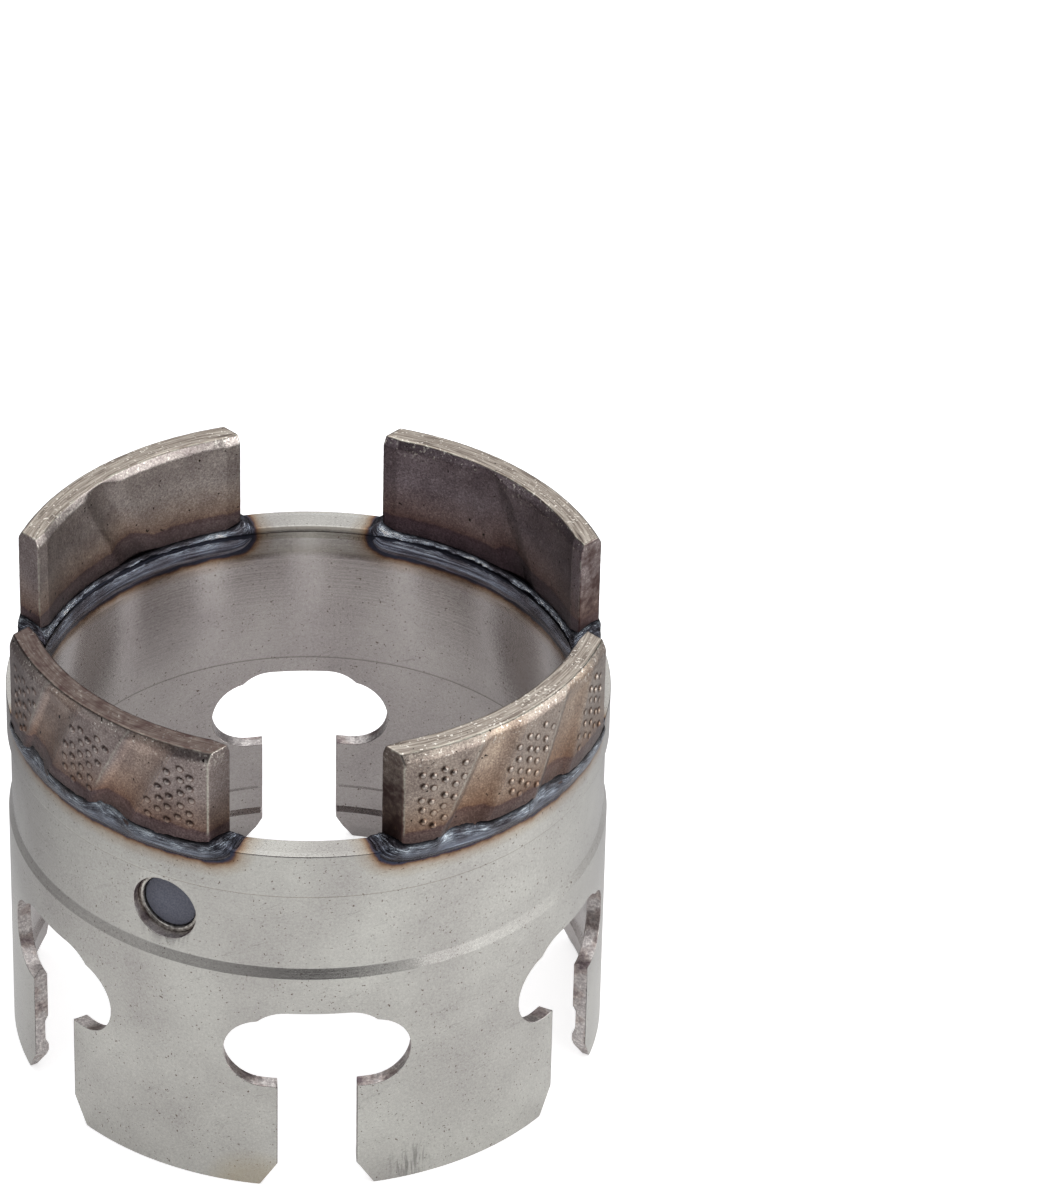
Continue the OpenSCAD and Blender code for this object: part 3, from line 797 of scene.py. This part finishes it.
def diamond_nubs(u, z, seed):
    """Height of the nubs over the outer face, their domes, and the painted shadow behind them."""
    heights, domes, binder = np.zeros_like(u), np.zeros_like(u), np.zeros_like(u)
    for pu, pz, size in nub_places(seed):
        dome = np.maximum(1 - ((u - pu) ** 2 + (z - pz) ** 2) / NUB_R ** 2, 0)
        from_nub_shadow = (u - pu + NUB_SHADOW_LEFT) ** 2 + (z - pz - NUB_SHADOW_UP) ** 2
        behind = np.maximum(1 - from_nub_shadow / NUB_SHADOW_R ** 2, 0)
        domes = np.maximum(domes, dome)
        binder = np.maximum(binder, behind * np.maximum(1 - 2.2 * dome, 0) * (0.5 + 0.5 * size))
        heights = np.maximum(heights, NUB_H * size * dome)
    return heights, domes, binder


def eased_block(co):
    """Rounds the edges of the block, and says how far round an edge each point is."""
    half = np.array([SEG_L, SEG_WALL, SEG_H]) / 2
    core = np.clip(co, SEG_EASE - half, half - SEG_EASE)
    reach = np.linalg.norm(co - core, axis=1, keepdims=True)
    return core + SEG_EASE * (co - core) / reach, reach[:, 0] / SEG_EASE - 1


def wear_and_lip_highlight(placed, y, t, z, rounding, bevel_up, lip_highlight, seed):
    """Wear on the edges and the outer bevel, and a painted highlight along the left lips of the flutes."""
    chipped = np.clip(rough_field(placed, 0.7, seed + 11) * 2.2 + 0.35, 0, 1)
    upright = (np.abs(y) > SEG_END - SEG_EASE) & (t > 0.8)
    wear = np.clip(rounding * 3, 0, 1) * np.where(upright, 0.8, chipped) * smooth_step(36, 37, z)
    wear += smooth_step(0.2, 0.6, bevel_up) * (t > 0.9) * 0.1
    return np.clip(wear + 0.35 * lip_highlight * smooth_step(37, 38.5, z), 0, 1)


def furnace_soot(placed, y, z, seed):
    """Soot on one end face of a segment, and on the top of the dull one."""
    blotches = rough_field(placed, 1.1, seed + 17) + rough_field(placed, 0.4, seed + 18)
    shade = 0.74 - 0.25 * smooth_step(40.5, 42, z) + 0.5 * blotches
    soot = smooth_step(SEG_END - 0.12, SEG_END - 0.02, -y) * shade
    if seed == DULL_SEGMENT:
        soot = np.maximum(soot, smooth_step(SEG_TOP - 0.15, SEG_TOP - 0.02, z) * (0.8 + 0.15 * blotches))
    return soot


def shape_segment(co, turn, seed):
    """Moves the points of the block to those of a segment, and gives what its material
    reads. In it u is the place along a face, t the place through the wall from 0 inside
    to 1 outside, and y the place along the chord."""
    eased, rounding = eased_block(co)
    y, t, z = eased[:, 0], eased[:, 1] / SEG_WALL + 0.5, eased[:, 2] + SEG_MID_Z
    u_out = SEG_OUT_R * np.arcsin(y / SEG_OUT_R)
    u_in = SEG_IN_R * np.arcsin(y / SEG_IN_R)

    # The bevels cut the flutes off softly, and the outer flutes run out towards the top
    bevel_up = (z - (SEG_TOP - BEVEL_H)) / BEVEL_H
    bevel = 0.5 * (bevel_up + np.sqrt(bevel_up ** 2 + 0.01))
    flutes = flute_depth(u_out, z, OUT_FLUTES, OUT_FLUTE, OUT_FLUTE_WALL)
    flutes *= 1 - 0.5 * smooth_step(42.4, 43.9, z)
    outer = soft_least(SEG_OUT_R - flutes, SEG_OUT_R - OUT_BEVEL * bevel, 0.24)
    flute_in = flute_depth(u_in, z, (0.0,), IN_FLUTE, IN_FLUTE_WALL)
    inner = -soft_least(-SEG_IN_R - flute_in, -SEG_IN_R - IN_BEVEL * bevel, 0.1)
    past_end = np.maximum(np.abs(y) - (SEG_END - END_REACH), 0) / END_REACH
    inner = inner + END_TAPER * past_end
    nubs, domes, binder = diamond_nubs(u_out, z, seed)
    outer = outer + nubs * smooth_step(0.97, 1.0, t)

    radius = inner + (outer - inner) * t
    out, side = np.array(outward(turn)), np.array(outward(turn + 90))
    depth = np.sqrt(np.maximum(radius ** 2 - y ** 2, 1))
    placed = depth[:, None] * out + y[:, None] * side
    placed[:, 2] = z
    lumps = rough_field(placed, 0.9, seed) * 0.02 + rough_field(placed, 0.3, seed + 7) * 0.012
    placed += out * (lumps * np.sign(t - 0.5) * smooth_step(0.3, 0.5, np.abs(t - 0.5)))[:, None]

    full = np.where(t > 0.5, flutes / OUT_FLUTE, flute_in / IN_FLUTE)
    skin = t > 0.97
    shares = np.stack([flute_share(u_out, z, centre) for centre in OUT_FLUTES])
    # A painted highlight runs along the left lip of each outer flute
    lip_highlight = np.clip(1 - np.abs(shares) / 0.035, 0, 1).max(0) * skin
    # The casts of the faces are partly furnace tint and partly painted light
    outer_cast_and_light, inner_cast_and_light = (np.array(linear(cast)[:3]) for cast in SEGMENT_CASTS_AND_LIGHT[seed - 1])
    return placed, {
        "past_weld": z - (TINT_Z + TINT_RISE * full),
        "wear": wear_and_lip_highlight(placed, y, t, z, rounding, bevel_up, lip_highlight, seed),
        "soot": furnace_soot(placed, y, z, seed),
        "flute": np.where((shares > 0) & (shares < 1), shares, 0).max(0) * skin,
        "cast": inner_cast_and_light + (outer_cast_and_light - inner_cast_and_light) * smooth_step(0.0, 0.1, t)[:, None],
        "nub": domes * skin,
        "binder": binder * skin,
        "along": np.stack([u_out, radius, z], 1),
    }


def build_segments(sintered):
    lattice = bpy.data.meshes.new("lattice")
    bm = block_lattice()
    bmesh.ops.recalc_face_normals(bm, faces=bm.faces)
    bm.to_mesh(lattice)
    bm.free()
    # The lattice is in millimetres still
    flat = points_of(lattice) * MM
    for seed, (node, turn) in enumerate(SEGMENT_TURNS.items(), 1):
        mesh = lattice.copy()
        placed, attributes = shape_segment(flat, turn, seed)
        set_points(mesh, placed)
        for name, values in attributes.items():
            write_attribute(mesh, name, values)
        mesh.materials.append(sintered)
        mesh.shade_smooth()
        piece = bpy.data.objects.new(f"diamond_{node}", mesh)
        bpy.context.scene.collection.objects.link(piece)
        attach(piece, "root")
        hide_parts(node)
    bpy.data.meshes.remove(lattice)


# Weld beads

# Stations of half a bead, from the middle of the outer side round one end to the middle
# of the inner side. Each has the toe on the ring, the crest and the toe on the segment,
# as (place along the segment, radius, height).
BEAD_STATIONS = [
    ((0.0, 25.74, 33.25), (0.0, 26.42, 34.2), (0.0, 26.24, 35.4)),
    ((6.0, 25.74, 33.25), (6.0, 26.42, 34.2), (6.0, 26.24, 35.4)),
    ((11.2, 25.74, 33.25), (11.2, 26.42, 34.2), (11.2, 26.24, 35.45)),
    ((12.7, 25.74, 33.55), (12.7, 26.5, 34.75), (11.95, 26.32, 35.6)),
    ((13.55, 25.74, 34.2), (13.2, 26.2, 35.05), (11.95, 26.0, 35.75)),
    ((13.7, 25.6, 34.74), (13.1, 25.6, 35.25), (11.95, 25.5, 35.8)),
    ((13.2, 24.5, 34.74), (12.7, 24.8, 35.2), (11.95, 24.9, 35.75)),
    ((12.75, 23.4, 34.74), (12.4, 23.5, 35.15), (11.95, 24.15, 35.6)),
    ((12.5, 23.2, 34.0), (12.3, 22.95, 34.8), (11.7, 24.0, 35.4)),
    ((11.7, 23.2, 32.75), (11.6, 22.85, 34.4), (11.1, 23.72, 35.15)),
    ((10.3, 23.2, 32.4), (10.3, 22.8, 34.35), (10.0, 23.66, 35.0)),
    ((5.0, 23.2, 32.4), (5.0, 22.8, 34.35), (5.0, 23.66, 34.95)),
    ((0.0, 23.2, 32.4), (0.0, 22.8, 34.35), (0.0, 23.66, 34.95)),
]


def smoothed(values, width):
    """Runs a soft window along a closed row of numbers."""
    window = np.hanning(width) / np.hanning(width).sum()
    half = width // 2
    return np.convolve(np.concatenate([values[-half:], values, values[:half]]), window, "valid")


def bead_rails():
    """The three rails of a whole bead at even steps along it, as arrays of points."""
    half = np.array(BEAD_STATIONS)
    back = half[-2:0:-1] * np.array([-1, 1, 1])
    loop = np.concatenate([half, back, half[:1]])
    middle = loop[:, 1].copy()
    step = np.linalg.norm(np.diff(middle, axis=0), axis=1)
    at = np.concatenate([[0], np.cumsum(step)])
    along = np.linspace(0, at[-1], BEAD_COLUMNS, endpoint=False)
    rails = [np.stack([np.interp(along, at, loop[:, r, k]) for k in range(3)], 1) for r in range(3)]
    return [np.stack([smoothed(rail[:, k], 13) for k in range(3)], 1) for rail in rails], along


def climb_flutes(crest, top):
    """Moves the two upper rails so that the melt climbs into the flutes. Its upper edge
    rises slowly towards them."""
    u = SEG_OUT_R * np.arcsin(top[:, 0] / SEG_OUT_R)
    filled = flute_depth(u, np.full_like(u, MELT_TOP_Z), OUT_FLUTES, 1.0, OUT_FLUTE_WALL)
    outside = top[:, 1] > 26.0
    crest[:, 1] -= np.where(outside, filled * 0.2, 0)
    top[:, 1] -= np.where(outside, filled * OUT_FLUTE, 0)
    top[:, 2] += np.where(outside, smoothed(filled, 25) * CLIMB, 0)


def core_points(along, most, z):
    """Points in the middle of the weld, beside places along it but no farther out than most."""
    return np.stack([np.clip(along, -most, most), np.full(len(along), BEAD_CORE_R),
                     np.full(len(along), z)], 1)


def shape_bead(rails, column, row, seed):
    """Points of a bead as (place along the chord, radius, height). The last row closes it
    on the core, out of sight."""
    toe, crest, top = (rail[column] for rail in rails)
    t = np.minimum(row / (BEAD_ROWS - 1), 1)[:, None]
    local = (1 - t) ** 2 * toe + 2 * t * (1 - t) * crest + t ** 2 * top
    # Ripples: long streaks, and lumps where the melt ran up the segment
    angle = 2 * math.pi * column / BEAD_COLUMNS
    loop = np.stack([9 * np.cos(angle), 9 * np.sin(angle), row * ROW_STEP], 1)
    streak = rough_field(loop * np.array([1, 1, 3.0]), 1.6, seed + 20)
    lump = rough_field(loop, 0.45, seed + 30)
    push = (RIPPLE * streak + RIPPLE * lump * t[:, 0]) * np.sin(math.pi * t[:, 0]) ** 0.5
    away = local - core_points(local[:, 0], 11.5, BEAD_CORE_Z + 0.1)
    away /= np.linalg.norm(away, axis=1, keepdims=True)
    local = local + away * push[:, None]
    hidden = row == BEAD_ROWS
    local[hidden] = core_points(toe[hidden, 0], 12.3, BEAD_CORE_Z)
    return local


def build_beads(weld):
    rails, along = bead_rails()
    climb_flutes(rails[1], rails[2])
    for seed, (node, turn) in enumerate(SEGMENT_TURNS.items()):
        bm = bmesh.new()
        bmesh.ops.create_grid(bm, x_segments=BEAD_COLUMNS, y_segments=BEAD_ROWS + 1, size=0.5)
        column = [round((v.co.x + 0.5) * BEAD_COLUMNS) % BEAD_COLUMNS for v in bm.verts]
        row = [round((v.co.y + 0.5) * (BEAD_ROWS + 1)) % (BEAD_ROWS + 1) for v in bm.verts]
        column, row = np.array(column), np.array(row)
        local = shape_bead(rails, column, row, seed)
        out, side = np.array(outward(turn)), np.array(outward(turn + 90))
        depth = np.sqrt(local[:, 1] ** 2 - local[:, 0] ** 2)
        placed = depth[:, None] * out + local[:, :1] * side
        placed[:, 2] = local[:, 2]
        pattern_at = bm.verts.layers.float_vector.new("along")
        burnt = bm.verts.layers.float.new("burnt")
        for v, p, s, r, y in zip(bm.verts, placed, along[column], row, local[:, 0]):
            v.co = p
            v[pattern_at] = (s, r * ROW_STEP, seed * 10)
            v[burnt] = min(max((abs(y) - BURNT_FROM) / BURNT_OVER, 0), 1)
        bmesh.ops.remove_doubles(bm, verts=bm.verts, dist=1e-5)
        bmesh.ops.recalc_face_normals(bm, faces=bm.faces)
        piece = finish_piece(bm, f"bead_{node[-1]}", [weld])
        piece.data.shade_smooth()
        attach(piece, "root")
        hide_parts(f"weld_seam_{node[-1]}")


# Insert

def turned_part(name, profile, material, seat):
    """A small part spun round its own axis, seated in the pocket."""
    bm = bmesh.new()
    points = [bm.verts.new((r, 0, z)) for r, z in profile]
    edges = [bm.edges.new(pair) for pair in zip(points, points[1:])]
    bmesh.ops.spin(bm, geom=points + edges, cent=(0, 0, 0), axis=(0, 0, 1), angle=2 * math.pi,
                   steps=96, use_merge=True)
    bmesh.ops.remove_doubles(bm, verts=bm.verts, dist=1e-4)
    bmesh.ops.recalc_face_normals(bm, faces=bm.faces)
    bmesh.ops.transform(bm, verts=bm.verts, matrix=seat)
    piece = finish_piece(bm, name, [material])
    piece.data.shade_smooth()
    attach(piece, "root")
    return piece


def build_insert(steel, resin):
    """Depths in the profiles are measured out of the pocket, from the relieved wall."""
    facing = Matrix.Rotation(math.pi / 2, 4, "Y")
    seat = place_of(POCKET_TURN) @ Matrix.Translation((RELIEF_R, 0, POCKET_Z)) @ facing
    deep, rim, face = -POCKET_DEPTH, -INSERT_SINK, -INSERT_SINK - DISC_SINK
    sleeve = turned_part("insert_sleeve", [
        (SLEEVE_BORE_R, deep), (SLEEVE_R, deep), (SLEEVE_R, rim - 0.14), (SLEEVE_R - 0.04, rim - 0.04),
        (SLEEVE_R - 0.14, rim), (SLEEVE_R - 0.3, rim), (SLEEVE_BORE_R + 0.045, rim - 0.05),
        (SLEEVE_BORE_R, rim - 0.16), (SLEEVE_BORE_R, deep)], steel, seat)
    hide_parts("insert_ring")
    disc = turned_part("insert_face", [
        (0, deep), (DISC_R, deep), (DISC_R, face - 0.1), (DISC_R - 0.04, face - 0.03),
        (DISC_R - 0.14, face), (0, face)], resin, seat)
    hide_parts("insert_disc")


# Stage

CAMERA_AT = Vector((-16.05, -475.55, 366.28)) * MM
CAMERA_TO = Vector((18.415, 0, 42.286)) * MM
CAMERA_ROLL = math.radians(1.476)
CAMERA_LENS = 203.0


def set_camera():
    data = bpy.data.cameras.new("camera")
    data.lens = CAMERA_LENS
    data.sensor_width = 36
    camera = bpy.data.objects.new("camera", data)
    ahead = (CAMERA_TO - CAMERA_AT).normalized()
    right = ahead.cross(Vector((0, 0, 1))).normalized()
    up = right.cross(ahead)
    x = right * math.cos(CAMERA_ROLL) + up * math.sin(CAMERA_ROLL)
    y = up * math.cos(CAMERA_ROLL) - right * math.sin(CAMERA_ROLL)
    camera.matrix_world = Matrix((
        (x.x, y.x, -ahead.x, CAMERA_AT.x), (x.y, y.y, -ahead.y, CAMERA_AT.y),
        (x.z, y.z, -ahead.z, CAMERA_AT.z), (0, 0, 0, 1)))
    bpy.context.scene.collection.objects.link(camera)
    bpy.context.scene.camera = camera


def soft_box(name, turn, rise, distance, size, radiance):
    """A lamp that looks at the ring from a turn and a rise in degrees, as bright as given."""
    data = bpy.data.lights.new(name, "AREA")
    data.shape = "RECTANGLE"
    data.size, data.size_y = size
    data.energy = radiance * math.pi * size[0] * size[1]
    lamp = bpy.data.objects.new(name, data)
    away = outward(turn) * math.cos(math.radians(rise)) + Vector((0, 0, math.sin(math.radians(rise))))
    lamp.location = away * distance + Vector((0, 0, 0.025))
    lamp.rotation_euler = away.to_track_quat("Z", "Y").to_euler()
    bpy.context.scene.collection.objects.link(lamp)


def pale_floor():
    """White studio paper. What the camera and the metal see of it near the ring is lifted
    to white; farther out it falls off, which gives the bevels their dark horizon."""
    bm = bmesh.new()
    bmesh.ops.create_grid(bm, x_segments=1, y_segments=1, size=3.0)
    mesh = bpy.data.meshes.new("floor")
    bm.to_mesh(mesh)
    bm.free()
    floor = bpy.data.objects.new("floor", mesh)
    bpy.context.scene.collection.objects.link(floor)
    material, tree = new_material("white_paper")
    path = add(tree, "ShaderNodeLightPath")
    where = add(tree, "ShaderNodeTexCoord").outputs["Object"]
    away = add(tree, "ShaderNodeVectorMath", {"operation": "DISTANCE"}, {0: where, 1: (0.03, -0.025, 0.0)})
    apart = add(tree, "ShaderNodeSeparateXYZ", {}, {0: where})
    right = add(tree, "ShaderNodeMapRange", {}, {0: apart.outputs["X"], 1: 0.06, 2: 0.16, 3: 0.08, 4: 1.0})
    left = add(tree, "ShaderNodeMapRange", {}, {0: apart.outputs["X"], 1: -0.03, 2: -0.07, 3: 0.0, 4: 0.4})
    far = add(tree, "ShaderNodeMath", {"operation": "ADD"}, {0: right, 1: left})
    pool = add(tree, "ShaderNodeMapRange", {}, {0: away.outputs["Value"], 1: 0.07, 2: 0.13, 3: 1.0, 4: far})
    front = add(tree, "ShaderNodeMapRange", {}, {0: apart.outputs["Y"], 1: -0.02, 2: 0.05, 3: 1.0, 4: 0.5})
    near = add(tree, "ShaderNodeMath", {"operation": "MULTIPLY"}, {0: pool, 1: front})
    off_axis = add(tree, "ShaderNodeVectorMath", {"operation": "LENGTH"}, {0: where}).outputs["Value"]
    outside = add(tree, "ShaderNodeMapRange", {}, {0: off_axis, 1: 0.02, 2: 0.03, 3: 1.05, 4: 1.0})
    glossy = add(tree, "ShaderNodeMath", {"operation": "MULTIPLY"},
                 {0: path.outputs["Is Glossy Ray"], 1: near})
    mirrored = add(tree, "ShaderNodeMath", {"operation": "MULTIPLY"}, {0: glossy, 1: outside})
    weaker = add(tree, "ShaderNodeMath", {"operation": "MULTIPLY"}, {0: mirrored, 1: 0.26})
    lifted = add(tree, "ShaderNodeMath", {"operation": "MULTIPLY_ADD"},
                 {0: path.outputs["Is Camera Ray"], 1: 0.65, 2: weaker})
    seen = add(tree, "ShaderNodeMath", {"operation": "MAXIMUM"},
               {0: near, 1: path.outputs["Is Camera Ray"]})
    shade = add(tree, "ShaderNodeValToRGB", {"stops": [(0.1, "#3f3a40"), (1.0, "#e4e4e4")]}, {0: seen})
    paper = add(tree, "ShaderNodeBsdfDiffuse", {}, {"Color": shade.outputs[0]})
    glow = add(tree, "ShaderNodeEmission", {}, {"Color": "#ffffff", "Strength": lifted})
    both = add(tree, "ShaderNodeAddShader", {}, {0: paper, 1: glow})
    add(tree, "ShaderNodeOutputMaterial", {}, {0: both})
    mesh.materials.append(material)


def light_stage():
    world = bpy.data.worlds.new("studio")
    bpy.context.scene.world = world
    world.use_nodes = True
    world.node_tree.nodes.clear()
    sky = add(world.node_tree, "ShaderNodeBackground", {}, {"Color": "#ebe2f0", "Strength": 0.09})
    add(world.node_tree, "ShaderNodeOutputWorld", {}, {0: sky})
    soft_box("overhead", 0, 88, 0.75, (1.15, 1.15), 1.38)
    soft_box("behind", 180, 45, 0.7, (0.8, 0.5), 1.05)
    soft_box("right_side", 72, 12, 0.42, (0.64, 0.26), 2.6)
    soft_box("left_card", -80, 3, 0.42, (0.36, 0.22), 0.8)
    bpy.context.scene.view_settings.view_transform = "Standard"


set_camera()
light_stage()
pale_floor()
ring = build_ring(satin_steel(), milled_edge())
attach(ring, "root")
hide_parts("ring_body")
build_segments(sintered_segment())
build_beads(weld_metal())
build_insert(bright_sleeve(), slate_disc())
